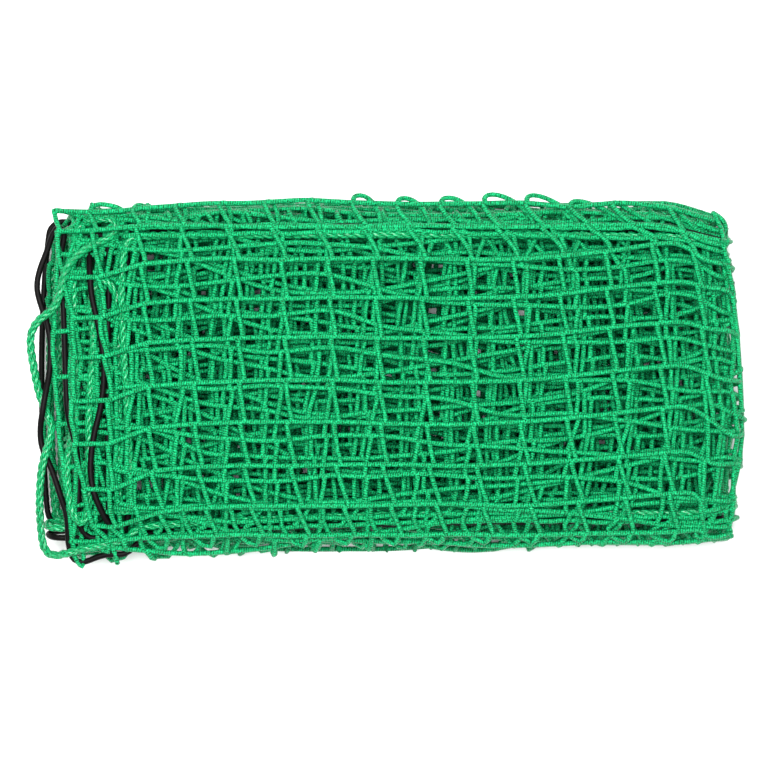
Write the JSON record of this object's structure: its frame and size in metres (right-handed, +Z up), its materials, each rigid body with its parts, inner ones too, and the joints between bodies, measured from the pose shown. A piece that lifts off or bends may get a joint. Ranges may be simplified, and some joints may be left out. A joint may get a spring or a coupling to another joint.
{
  "type": "folded trailer cargo net",
  "caption": "Knitted cargo net with a rope and an elastic cord round its edge, folded into a long flat bundle that lies on a surface.",
  "frame": {"origin": "centre of the bundle's bounding box, on the surface that it lies on", "axes": "+X along the bundle towards its closed folded end, +Y across it, +Z up, out of the surface"},
  "size_m": [0.6906, 0.352, 0.0932],
  "materials": {
    "net_twine": "knitted plastic twine, slightly glossy",
    "rope_fibre": "three-strand twisted plastic rope, glossy",
    "elastic_cover": "black braided cover, matte"
  },
  "bodies": {
    "root": {"net": "net_twine", "border_rope": "rope_fibre", "elastic_cord": "elastic_cover"}
  },
  "joints": []
}
